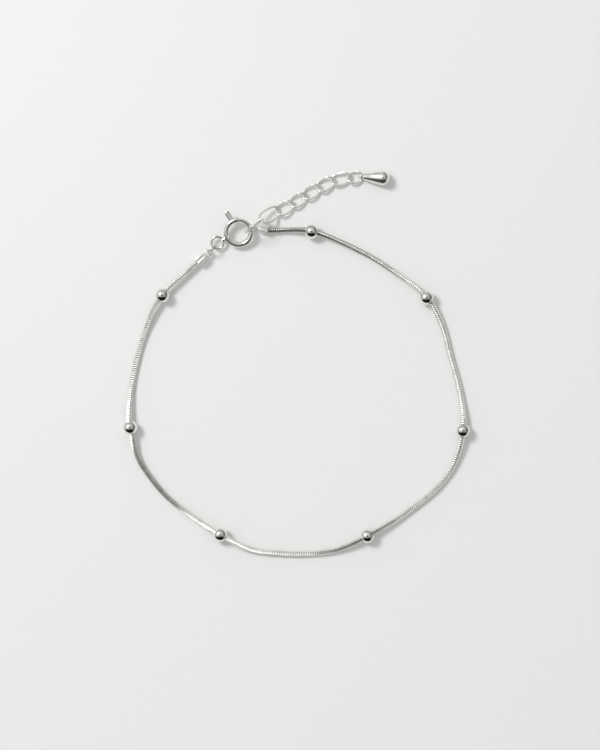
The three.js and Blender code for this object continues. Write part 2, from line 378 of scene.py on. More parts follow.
def bar(start: float, end: float, thickness: float, sides: int) -> Shell:
    """Makes a straight round bar along X.

    Args:
        start: Where it starts, in metres.
        end: Where it ends.
        thickness: Its diameter.
        sides: How many corners go round it.

    Returns:
        The bar.
    """
    radius = thickness / 2
    return revolve([(start, 0.0), (start, radius), (end, radius), (end, 0.0)], sides)


def bow(centre: Pair, reach: Pair, turns: Pair, steps: int) -> list[Pair]:
    """Steps round part of a circle or an ellipse in a plane.

    Args:
        centre: Its middle.
        reach: Its half-sizes along the plane's two directions.
        turns: Where the part starts and where it ends, in degrees.
        steps: How many steps it takes.

    Returns:
        The points in order, with both ends.
    """
    start, end = turns
    angles = [math.radians(start + (end - start) * i / steps) for i in range(steps + 1)]
    return [(centre[0] + reach[0] * math.cos(a), centre[1] + reach[1] * math.sin(a)) for a in angles]


def closed_ring(radius: float, thickness: float, steps: int = 48, sides: int = 20) -> Shell:
    """Bends round wire into a closed ring in the XY plane.

    Args:
        radius: The radius of the wire's middle line, in metres.
        thickness: The wire's diameter.
        steps: How many steps go round the ring.
        sides: How many corners go round the wire.

    Returns:
        The ring.
    """
    return wire(arc(radius, 0.0, FULL_TURN), thickness / 2, steps, sides, closed=True)


def slab(outline: Sequence[Pair], low: float, high: float) -> Shell:
    """Pushes an outline in the XY plane up into a plate.

    Args:
        outline: The outline's points in metres.
        low: The height of the plate's underside.
        high: The height of its top.

    Returns:
        The plate.
    """
    rings = [[Vector((x, y, z)) for x, y in outline] for z in (low, high)]
    return loft(rings, closed=False)


def bake(piece: Object) -> None:
    """Turns a piece's modifiers into a plain mesh of its own.

    Args:
        piece: The piece.
    """
    graph = bpy.context.evaluated_depsgraph_get()
    mesh = bpy.data.meshes.new_from_object(piece.evaluated_get(graph), depsgraph=graph)
    piece.modifiers.clear()
    piece.data = mesh


def combine(base: Object, tool: Object, way: Join) -> None:
    """Joins or cuts a piece with another one, which is used up.

    Args:
        base: The piece that stays.
        tool: The piece that is joined to it or cut from it.
        way: How they are put together.
    """
    modifier = base.modifiers.new("combine", "BOOLEAN")
    modifier.operation = way.value
    modifier.solver = "EXACT"
    modifier.object = tool
    bake(base)
    bpy.data.objects.remove(tool)
    tidy(base.data)


def soften(piece: Object, width: float, segments: int = 2) -> None:
    """Rounds a piece's crisp edges, as tumbling does.

    Args:
        piece: The piece.
        width: How wide the rounding is, in metres.
        segments: How many faces the rounding has across.
    """
    bevel = piece.modifiers.new("tumbled_edges", "BEVEL")
    bevel.width = width
    bevel.segments = segments
    bevel.limit_method = "ANGLE"
    bevel.angle_limit = math.radians(CREASE)
    bake(piece)
    shade(piece.data)


# ---- Finishes ----

Socket = Union[float, str, tuple, NodeSocket, Material]


def linear(colour: str) -> tuple[float, float, float, float]:
    """Turns an sRGB colour into the linear one that shaders take.

    Args:
        colour: The colour in hex, such as #EDEBE6.

    Returns:
        Linear red, green, blue and an alpha of 1.
    """
    parts = [int(colour[i:i + 2], 16) / 255 for i in (1, 3, 5)]
    red, green, blue = [p / 12.92 if p <= 0.04045 else ((p + 0.055) / 1.055) ** 2.4 for p in parts]
    return red, green, blue, 1.0


def add_node(
    tree: NodeTree,
    kind: str,
    inputs: Optional[dict[Union[str, int], Socket]] = None,
    **settings: object,
) -> Node:
    """Adds one node with its settings, values and links.

    Args:
        tree: The tree that the node goes into.
        kind: The node's type.
        inputs: A value, or another node's output, for each named or numbered input.
        **settings: The node's own properties.

    Returns:
        The node.
    """
    node = tree.nodes.new(kind)
    for name, value in settings.items():
        setattr(node, name, value)
    for name, value in (inputs or {}).items():
        if isinstance(value, NodeSocket):
            tree.links.new(value, node.inputs[name])
        else:
            node.inputs[name].default_value = value
    return node


def ramp(
    tree: NodeTree, value: NodeSocket, edges: Pair, ends: Pair = (0.0, 1.0), kind: str = "SMOOTHSTEP",
) -> NodeSocket:
    """Adds a node that lets one value change another between two edges.

    Args:
        tree: The tree that the node goes into.
        value: The value that brings the change.
        edges: Where the change starts and where it ends.
        ends: The result before it and after it.
        kind: How the change runs.

    Returns:
        The result.
    """
    made = add_node(tree, "ShaderNodeMapRange", {
        "Value": value, "From Min": edges[0], "From Max": edges[1],
        "To Min": ends[0], "To Max": ends[1],
    }, interpolation_type=kind)
    return made.outputs["Result"]


def empty_tree(owner: Union[Material, World]) -> NodeTree:
    """Clears the nodes that a new material or world starts with.

    Args:
        owner: The material or world.

    Returns:
        Its empty tree.
    """
    owner.use_nodes = True
    owner.node_tree.nodes.clear()
    return owner.node_tree


@dataclass(frozen=True)
class Silver:
    """Sterling silver, polished or tumbled: a mirror with faint marks, and some tarnish in patches.

    The marks vary the roughness by up to their own value. The bloom is the share of light that
    fine scratches or pickling scatter. An edge pair is the span of noise that a change takes.
    """

    name: str
    bright: str = "#F4F3F0"
    tarnished: str = "#D9D6CE"
    roughness: float = 0.1
    marks: float = 0.05
    mark_size: float = 0.12 * MM
    mark_edges: Pair = (0.3, 0.7)
    patch_size: float = 1.5 * MM
    patch_edges: Pair = (0.45, 0.75)
    ripple_size: float = 0.6 * MM
    ripple_height: float = 0.002 * MM
    bloom: float = 0.0

    def material(self) -> Material:
        """Makes the material.

        Returns:
            The material.
        """
        material = bpy.data.materials.new(self.name)
        tree = empty_tree(material)
        place = add_node(tree, "ShaderNodeTexCoord").outputs["Object"]
        patches = add_node(tree, "ShaderNodeTexNoise", {
            "Vector": place, "Scale": 1 / self.patch_size, "Detail": 3.0, "Roughness": 0.6,
        })
        tone = ramp(tree, patches.outputs["Fac"], self.patch_edges)
        colour = add_node(tree, "ShaderNodeMix", {
            0: tone, 6: linear(self.bright), 7: linear(self.tarnished),
        }, data_type="RGBA")
        marks = add_node(tree, "ShaderNodeTexNoise", {
            "Vector": place, "Scale": 1 / self.mark_size, "Detail": 2.0,
        })
        ends = (max(self.roughness - self.marks, 0.0), self.roughness + self.marks)
        rough = ramp(tree, marks.outputs["Fac"], self.mark_edges, ends, "LINEAR")
        ripple = add_node(tree, "ShaderNodeTexNoise", {
            "Vector": place, "Scale": 1 / self.ripple_size, "Detail": 1.0,
        })
        bump = add_node(tree, "ShaderNodeBump", {
            "Height": ripple.outputs["Fac"], "Strength": 1.0, "Distance": self.ripple_height,
        })
        shader = add_node(tree, "ShaderNodeBsdfPrincipled", {
            "Base Color": colour.outputs[2], "Roughness": rough,
            "Metallic": 1.0 - self.bloom, "Normal": bump.outputs["Normal"],
        })
        add_node(tree, "ShaderNodeOutputMaterial", {"Surface": shader.outputs["BSDF"]})
        return material


@dataclass(frozen=True)
class Laminate:
    """A smooth, matt laminate with the faintest grain."""

    name: str
    light: str = "#F1F1EF"
    dark: str = "#EFEFEF"
    roughness: float = 0.7
    grain_scale: float = 600.0

    def material(self) -> Material:
        """Makes the material.

        Returns:
            The material.
        """
        material = bpy.data.materials.new(self.name)
        tree = empty_tree(material)
        grain = add_node(tree, "ShaderNodeTexNoise", {
            "Vector": add_node(tree, "ShaderNodeTexCoord").outputs["Object"],
            "Scale": self.grain_scale, "Detail": 4.0,
        })
        colour = add_node(tree, "ShaderNodeMix", {
            0: grain.outputs["Fac"], 6: linear(self.light), 7: linear(self.dark),
        }, data_type="RGBA")
        shader = add_node(tree, "ShaderNodeBsdfPrincipled", {
            "Base Color": colour.outputs[2], "Roughness": self.roughness,
        })
        add_node(tree, "ShaderNodeOutputMaterial", {"Surface": shader.outputs["BSDF"]})
        return material


# Drilled balls are tumbled and then buffed: nearly a mirror, with crisp black and white in it.
BEAD_SILVER = Silver("buffed_silver_ball", roughness=0.05, marks=0.03)
# Stamped and rolled links are worn a little dull, so their flats blur what they reflect.
LINK_SILVER = Silver("stamped_silver_link", roughness=0.32, marks=0.06, mark_size=0.2 * MM)
# Painted shade: the chain's core and the links' inner faces are dark, so the gaps between the ribs read
# dark; the metal there is rough, as unpolished.
CORE_SILVER = Silver("oxidised_silver_core", "#4A4843", "#2C2A27", roughness=0.45, marks=0.1)
# The clasp's tube and tongue are rolled from sheet and tumbled: bright, with soft-edged streaks.
CLASP_SILVER = Silver("tumbled_silver_clasp", roughness=0.1, marks=0.04, bloom=0.05)
# Jump rings are cut from drawn wire, whose fine draw lines whiten it.
RING_SILVER = Silver("drawn_silver_wire", roughness=0.1, marks=0.04, bloom=0.2)
# The extender's links are soldered shut and pickled, which leaves a white bloom on the wire.
EXTENDER_SILVER = Silver("pickled_silver_link", roughness=0.1, marks=0.04, bloom=0.48)
# The caps are folded from pickled sheet: white, and slightly uneven where the tool pressed them.
CAP_SILVER = Silver(
    "folded_silver_sheet", roughness=0.2, marks=0.1, ripple_height=0.006 * MM, bloom=0.55,
)
# The solid drop is buffed by hand: a mirror with a trace of haze.
DROP_SILVER = Silver("buffed_silver_drop", roughness=0.05, marks=0.03, bloom=0.06)
# The table is pressed laminate, nearly white and matt, so that the silver's shadows stay soft.
TABLE_LAMINATE = Laminate("pale_laminate")


def dress(piece: Object, finish: Union[Silver, Laminate]) -> None:
    """Gives a piece its finish, made once and then shared.

    Args:
        piece: The piece.
        finish: The finish.
    """
    material = bpy.data.materials.get(finish.name) or finish.material()
    piece.data.materials.clear()
    piece.data.materials.append(material)


def hand_over(piece: Object, nodes: Sequence[str], body: Body = Body.BRACELET) -> None:
    """Lets a finished piece stand for its CAD nodes, and reports it.

    Args:
        piece: The piece.
        nodes: The CAD nodes that it replaces.
        body: The body that it rides on.
    """
    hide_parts(*nodes)
    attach(piece, body.value)
    LOG.info("%s: %d faces, rides on %s", piece.name, len(piece.data.polygons), body.value)


# ---- The chain ----

# Where the caps hold the chain's two ends. The chain leaves each along its heading.
CAPS = {
    "end_cap_left": Place(-15.16, 19.98, 1.0, heading=222),
    "end_cap_right": Place(-7.43, 24.34, 0.68, heading=-15),
}
# The chain's direction in each bead, from the left cap to the right one, in degrees.
BEAD_HEADINGS = (233, 280, 332, 29, 83, 129, 168)


@dataclass
class SnakeChain:
    """The snake chain: short wavy links, each nested in the next, round a hollow core darkened as
    painted shade.
    """

    width: float = 0.94 * MM
    pitch: float = 0.37 * MM
    # A link from rim to rim: places along the chain, and how deep the metal lies under the flat.
    profile: tuple[Pair, ...] = (
        (-0.165 * MM, 0.055 * MM), (-0.11 * MM, 0.014 * MM), (0.0, 0.0),
        (0.11 * MM, 0.014 * MM), (0.165 * MM, 0.055 * MM),
    )
    core_depth: float = 0.14 * MM
    groove_depth: float = 0.2 * MM
    # How far the rims swing to and fro from flat to corner.
    wave: float = 0.06 * MM
    bead_half_span: float = 1.25 * MM
    floor_gap: float = 0.47 * MM
    flats: int = 6
    core_sides: int = 12
    steps_per_point: int = 12
    cap_points: tuple[float, ...] = (1.15 * MM, 2.45 * MM)
    # The chain between the beads, from the left cap to the right one: x, y and height in
    # millimetres, and the chain's twist there in degrees. At 0 a flat side faces up.
    stretches: tuple[tuple[tuple[float, float, float, float], ...], ...] = (
        ((-19.18, 16.29, 1.0, 8),),
        ((-25.34, 7.22, 0.58, 8), (-26.65, 2.87, 0.45, 8), (-27.73, -2.54, 0.58, 10)),
        ((-26.71, -13.3, 0.66, 26), (-24.57, -16.77, 0.45, 28),
         (-21.73, -20.06, 0.45, 24), (-18.14, -22.91, 0.68, 3)),
        ((-8.04, -28.58, 0.6, -6), (-3.36, -29.2, 0.45, -6),
         (1.23, -29.26, 0.45, -6), (5.72, -28.7, 0.6, 6)),
        ((15.86, -23.62, 0.64, -4), (19.37, -21.1, 0.45, -9),
         (22.68, -18.26, 0.45, -9), (25.08, -14.8, 0.64, -9)),
        ((26.55, -4.75, 0.64, -9), (25.73, -0.8, 0.45, -9),
         (24.61, 3.15, 0.45, -9), (23.42, 7.56, 0.64, -9)),
        ((15.86, 16.53, 0.6, -12), (11.82, 19.19, 0.45, -18), (7.38, 21.45, 0.6, -23)),
        ((-2.46, 23.75, 0.6, -23),),
    )
    bead_twists: tuple[float, ...] = (8, 14, -3, 8, -9, -5, -23)

    def control_points(self) -> list[tuple[Vector, float]]:
        """Lists the points that the chain runs through.

        Returns:
            The points in order, each with the chain's twist there in degrees.
        """
        ends = [place.matrix() for place in CAPS.values()]
        first, last = self.stretches[0][0][3], self.stretches[-1][-1][3]
        points = [(ends[0] @ Vector((x, 0, 0)), first) for x in self.cap_points]
        for i, stretch in enumerate(self.stretches):
            points += [(Place(x, y, z).point(), twist) for x, y, z, twist in stretch]
            if i == len(BEAD_HEADINGS):
                break
            centre = middle(f"bead_{i + 1}")
            turn = math.radians(BEAD_HEADINGS[i])
            step = Vector((math.cos(turn), math.sin(turn), 0)) * self.bead_half_span
            points += [(centre + step * side, self.bead_twists[i]) for side in (-1, 1)]
        return points + [(ends[1] @ Vector((x, 0, 0)), last) for x in reversed(self.cap_points)]

    def route(self) -> list[tuple[Vector, float]]:
        """Draws the chain's middle line.

        Returns:
            Close points along it, each with the chain's twist there in degrees.
        """
        points = self.control_points()
        places = [point for point, _ in points]
        places = [places[0] * 2 - places[1], *places, places[-1] * 2 - places[-2]]
        line = []
        for i in range(len(points) - 1):
            for step in range(self.steps_per_point):
                share = step / self.steps_per_point
                point = curve_point(*places[i:i + 4], share)
                twist = points[i][1] * (1 - share) + points[i + 1][1] * share
                line.append((self.lifted(point), twist))
        line.append((self.lifted(places[-2]), points[-1][1]))
        return line

    def lifted(self, point: Vector) -> Vector:
        """A point, raised where the chain would otherwise sink into the table."""
        return Vector((point.x, point.y, max(point.z, self.floor_gap)))

    def apothem(self) -> float:
        """How far a flat lies from the chain's middle line."""
        return self.width / 2 * math.cos(math.pi / self.flats)

    def link(self) -> Object:
        """Makes one link along X: a ring with flat sides, whose two rims zigzag from flat to flat.

        Returns:
            The link, whose attribute "groove" marks the faces of its inside, which are darkened as
            painted shade.
        """
        apothem = self.apothem()
        section = [(x, 1 - drop / apothem) for x, drop in self.profile]
        section.append((0.0, 1 - self.groove_depth / apothem))
        rings = []
        for i in range(2 * self.flats):
            turn = math.pi * i / self.flats
            reach = apothem if i % 2 == 0 else self.width / 2
            shift = self.wave * (-1) ** i / 2
            rings.append([
                Vector((x + shift, scale * reach * math.sin(turn), scale * reach * math.cos(turn)))
                for x, scale in section
            ])
        link = loft(rings, closed=True).piece("snake_link")
        groove = link.data.attributes.new("groove", "BOOLEAN", "FACE")
        inner = [
            any(link.data.vertices[i].co.yz.length < apothem - self.core_depth for i in face.vertices)
            for face in link.data.polygons
        ]
        groove.data.foreach_set("value", inner)
        return link

    def tree(self) -> GeometryNodeTree:
        """Sets a link at every pitch along the route, round a core.

        Returns:
            The tree.
        """
        tree = bpy.data.node_groups.new("links_along_route", "GeometryNodeTree")
        for name, way, kind in (
            ("Geometry", "INPUT", "Geometry"), ("Link", "INPUT", "Object"),
            ("Pitch", "INPUT", "Float"), ("Core Radius", "INPUT", "Float"),
            ("Link Silver", "INPUT", "Material"), ("Core Silver", "INPUT", "Material"),
            ("Geometry", "OUTPUT", "Geometry"),
        ):
            tree.interface.new_socket(name, in_out=way, socket_type=f"NodeSocket{kind}")
        given = add_node(tree, "NodeGroupInput").outputs
        line = add_node(tree, "GeometryNodeMeshToCurve", {"Mesh": given["Geometry"]})
        spaced = add_node(tree, "GeometryNodeResampleCurve", {
            "Curve": line.outputs["Curve"], "Length": given["Pitch"],
        }, mode="LENGTH")
        tangent = add_node(tree, "GeometryNodeInputTangent")
        upright = add_node(tree, "FunctionNodeAxesToRotation", {
            0: tangent.outputs["Tangent"], 1: (0.0, 0.0, 1.0),
        }, primary_axis="X", secondary_axis="Z")
        attribute = "GeometryNodeInputNamedAttribute"
        twist = add_node(tree, attribute, {"Name": "twist"}, data_type="FLOAT")
        about = add_node(tree, "FunctionNodeAxisAngleToRotation", {
            "Axis": (1.0, 0.0, 0.0), "Angle": twist.outputs["Attribute"],
        })
        turned = add_node(tree, "FunctionNodeRotateRotation", {
            0: upright.outputs[0], 1: about.outputs[0],
        }, rotation_space="LOCAL")
        link = add_node(tree, "GeometryNodeObjectInfo", {"Object": given["Link"]})
        links = add_node(tree, "GeometryNodeInstanceOnPoints", {
            "Points": spaced.outputs["Curve"], "Instance": link.outputs["Geometry"],
            "Rotation": turned.outputs[0],
        })
        solid = add_node(tree, "GeometryNodeRealizeInstances", {"Geometry": links.outputs["Instances"]})
        links_dressed = add_node(tree, "GeometryNodeSetMaterial", {
            "Geometry": solid.outputs["Geometry"], "Material": given["Link Silver"],
        })
        # The inner faces get the dark core material: painted shade between the ribs.
        groove = add_node(tree, attribute, {"Name": "groove"}, data_type="BOOLEAN")
        grooved = add_node(tree, "GeometryNodeSetMaterial", {
            "Geometry": links_dressed.outputs["Geometry"], "Selection": groove.outputs["Attribute"],
            "Material": given["Core Silver"],
        })
        # A dark core tube: painted shade that shows through the gaps between the links.
        round_section = add_node(tree, "GeometryNodeCurvePrimitiveCircle", {
            "Resolution": self.core_sides, "Radius": given["Core Radius"],
        })
        core = add_node(tree, "GeometryNodeCurveToMesh", {
            "Curve": spaced.outputs["Curve"], "Profile Curve": round_section.outputs["Curve"],
            "Fill Caps": True,
        })
        core_dressed = add_node(tree, "GeometryNodeSetMaterial", {
            "Geometry": core.outputs["Mesh"], "Material": given["Core Silver"],
        })
        both = add_node(tree, "GeometryNodeJoinGeometry")
        tree.links.new(grooved.outputs["Geometry"], both.inputs[0])
        tree.links.new(core_dressed.outputs["Geometry"], both.inputs[0])
        add_node(tree, "NodeGroupOutput", {"Geometry": both.outputs["Geometry"]})
        return tree

    def build(self) -> None:
        """Builds the whole chain as one mesh."""
        line = self.route()
        mesh = bpy.data.meshes.new("snake_chain_links")
        edges = [(i, i + 1) for i in range(len(line) - 1)]
        mesh.from_pydata([tuple(point) for point, _ in line], edges, [])
        twist = mesh.attributes.new("twist", "FLOAT", "POINT")
        twist.data.foreach_set("value", [math.radians(degrees) for _, degrees in line])
        chain = new_object("snake_chain_links", mesh)
        link = self.link()
        modifier = chain.modifiers.new("links", "NODES")
        modifier.node_group = self.tree()
        values = {
            "Link": link, "Pitch": self.pitch, "Core Radius": self.apothem() - self.core_depth,
            "Link Silver": LINK_SILVER.material(), "Core Silver": CORE_SILVER.material(),
        }
        for item in modifier.node_group.interface.items_tree:
            if item.in_out == "INPUT" and item.name in values:
                modifier[item.identifier] = values[item.name]
        bake(chain)
        bpy.data.objects.remove(link)
        hand_over(chain, ["snake_chain"])


def curve_point(p0: Vector, p1: Vector, p2: Vector, p3: Vector, share: float) -> Vector:
    """A point of the smooth centripetal curve from p1 to p2.

    Args:
        p0: The point before.
        p1: The point that the span starts from.
        p2: The point that it ends at.
        p3: The point after.
        share: How far along the span, from 0 to 1.

    Returns:
        The point.
    """
    d0, d1, d2 = ((b - a).length ** 0.5 for a, b in ((p0, p1), (p1, p2), (p2, p3)))
    leave = ((p1 - p0) / d0 - (p2 - p0) / (d0 + d1) + (p2 - p1) / d1) * d1
    arrive = ((p2 - p1) / d1 - (p3 - p1) / (d1 + d2) + (p3 - p2) / d2) * d1
    square, cube = share ** 2, share ** 3
    return (
        p1 + leave * share
        + (p2 * 3 - p1 * 3 - leave * 2 - arrive) * square
        + (p1 * 2 - p2 * 2 + leave + arrive) * cube
    )


# ---- The beads and the drop ----


@dataclass
class Beads:
    """Plain round balls, drilled through for the chain, with eased edges at the hole."""

    diameter: float = 2.4 * MM
    bore: float = 1.36 * MM
    ease: float = 0.06 * MM
    # The hole's eased edge: how far along the hole and out from it, as shares of the ease.
    eased_edge: tuple[Pair, ...] = ((0.05, 0.55), (-0.35, 0.3), (-1.0, 0.0))
    crease: float = 60.0
    sides: int = 48
    arc_steps: int = 22

    def ball(self) -> Shell:
        """Turns one drilled ball, its hole along X.

        Returns:
            The ball.
        """
        radius, hole = self.diameter / 2, self.bore / 2
        rim = math.degrees(math.acos((hole + self.ease) / radius))
        profile = bow((0.0, 0.0), (radius, radius), (90 + rim, 90 - rim), self.arc_steps)
        end = profile[-1][0]
        edge = [(end + self.ease * along, hole + self.ease * out) for along, out in self.eased_edge]
        profile += edge + [(-x, r) for x, r in reversed(edge)]
        return revolve(profile, self.sides, closed=True)

    def build(self) -> None:
        """Builds every bead where its CAD node lies."""
        for number, heading in enumerate(BEAD_HEADINGS, 1):
            node = f"bead_{number}"
            turn = Matrix.Rotation(math.radians(heading), 4, "Z")
            place = Matrix.Translation(middle(node)) @ turn
            bead = self.ball().placed(place).piece(f"ball_{number}", self.crease)
            dress(bead, BEAD_SILVER)
            hand_over(bead, [node])


@dataclass
class Drop:
    """The solid teardrop at the end of the extender, with its upright eye."""

    place: Place = Place(10.07, 32.5, 0.6, heading=-5, pitch=-10)
    eye_radius: float = 0.43 * MM
    eye_wire: float = 0.3 * MM
    start: float = 0.35 * MM
    length: float = 4.3 * MM
    belly_at: float = 3.25 * MM
    tip_radius: float = 0.54 * MM
    belly_radius: float = 1.22 * MM
    bevel: float = 0.12 * MM
    # Above 1 the body swells out faster near its narrow end.
    fullness: float = 1.25
    crease: float = 40.0
    sides: int = 64
    bevel_steps: int = 4
    swell_steps: int = 16
    round_steps: int = 14

    def profile(self) -> list[Pair]:
        """Draws the body's profile from its narrow end to its round one.

        Returns:
            Its points as (distance along X, radius).
        """
        bevel, growth = self.bevel, self.belly_radius - self.tip_radius
        points = [(0.0, 0.0)]
        points += bow((bevel, self.tip_radius - bevel), (bevel, bevel), (180, 90), self.bevel_steps)
        for i in range(1, self.swell_steps + 1):
            share = i / self.swell_steps
            swell = 1 - (1 - share) ** self.fullness
            points.append((bevel + (self.belly_at - bevel) * share, self.tip_radius + growth * swell))
        reach = (self.length - self.belly_at, self.belly_radius)
        return points + bow((self.belly_at, 0.0), reach, (90, 0), self.round_steps)[1:]

    def build(self) -> None:
        """Builds the drop with its eye soldered on."""
        place = self.place.matrix()
        shift = Matrix.Translation((self.start, 0, 0))
        body = revolve(self.profile(), self.sides).placed(place @ shift).piece("teardrop")
        eye = closed_ring(self.eye_radius, self.eye_wire)
        upright = place @ Matrix.Rotation(math.pi / 2, 4, "X")
        combine(body, eye.placed(upright).piece("drop_eye"), Join.ADD)
        shade(body.data, self.crease)
        dress(body, DROP_SILVER)
        hand_over(body, ["drop"])


# ---- The findings ----


@dataclass
class EndCaps:
    """Folded sheet caps that grip the chain's ends, each with an eye in front."""

    half_width: float = 0.7 * MM
    depth: float = 0.65 * MM
    ridge_height: float = 0.42 * MM
    notch_height: float = 0.66 * MM
    start: float = 0.55 * MM
    shoulder: float = 0.95 * MM
    end: float = 2.3 * MM
    front_half_width: float = 0.22 * MM
    bore: float = 1.2 * MM
    bore_start: float = 1.1 * MM
    edge: float = 0.05 * MM
    eye_radius: float = 0.5 * MM
    eye_wire: float = 0.32 * MM
    # How far each cap's eye is turned about the chain: the left one lies flat, the right one stands.
    eye_turns: Pair = (0.0, 90.0)
    # The tool that trims a cap to its plan is this much larger than the cap.
    trim: float = 1.01
    back_steps: int = 16
    fold_steps: int = 8
    bore_sides: int = 32

    def outline(self) -> list[Pair]:
        """Draws the folded strip as seen along the chain: a round back and two ridges on top.

        Returns:
            Its points as (distance to the side, height).
        """
        ridge = self.half_width / 2
        notch = 180 - math.degrees(math.asin((self.notch_height - self.ridge_height) / ridge))
        back = bow((0.0, 0.0), (self.half_width, self.depth), (180, 360), self.back_steps)
        fold = bow((ridge, self.ridge_height), (ridge, ridge), (0, notch), self.fold_steps)
        return back + fold + [(-y, z) for y, z in reversed(fold)]

    def build(self) -> None:
        """Builds both caps."""
        for (name, place), eye_turn in zip(CAPS.items(), self.eye_turns):
            rings = [[Vector((x, y, z)) for y, z in self.outline()] for x in (self.start, self.end)]
            cap = loft(rings, closed=False).piece(name.replace("end_", "folded_"))
            side, back = self.half_width * self.trim, self.end * self.trim
            plan = [
                (self.start, -self.front_half_width), (self.shoulder, -side), (back, -side),
                (back, side), (self.shoulder, side), (self.start, self.front_half_width),
            ]
            combine(cap, slab(plan, -2 * self.depth, 2 * self.depth).piece("plan"), Join.KEEP)
            bore = bar(self.bore_start, 2 * self.end, self.bore, self.bore_sides)
            combine(cap, bore.piece("bore"), Join.CUT)
            soften(cap, self.edge)
            eye = closed_ring(self.eye_radius, self.eye_wire)
            turn = Matrix.Rotation(math.radians(eye_turn), 4, "X")
            combine(cap, eye.placed(turn).piece("eye"), Join.ADD)
            cap.data.transform(place.matrix())
            shade(cap.data)
            dress(cap, CAP_SILVER)
            hand_over(cap, [name])


@dataclass
class OpenRings:
    """Round jump rings of drawn wire, closed so that their two ends just meet."""

    # Each ring's CAD node, place, radius and thickness, and where its seam is, in degrees.
    rings: tuple[tuple[str, Place, float, float, float], ...] = (
        ("small_ring", Place(-14.45, 20.69, 1.17, heading=45), 1.0 * MM, 0.3 * MM, 150.0),
        ("jump_ring", Place(-7.43, 24.34, 2.46, heading=36), 1.85 * MM, 0.36 * MM, 205.0),
    )
    seam: float = 0.03 * MM
    dome: float = 0.02 * MM
    steps: int = 96
    sides: int = 24

    def build(self) -> None:
        """Builds the small ring and the jump ring upright where their CAD nodes stand."""
        for name, place, radius, thickness, seam_at in self.rings:
            gap = math.degrees(self.seam / radius)
            line = arc(radius, seam_at + gap / 2, seam_at + FULL_TURN - gap / 2)
            upright = place.matrix() @ Matrix.Rotation(math.pi / 2, 4, "X")
            ring = wire(line, thickness / 2, self.steps, self.sides, closed=False, dome=self.dome)
            piece = ring.placed(upright).piece(f"wire_{name}")
            dress(piece, RING_SILVER)
            hand_over(piece, [name])


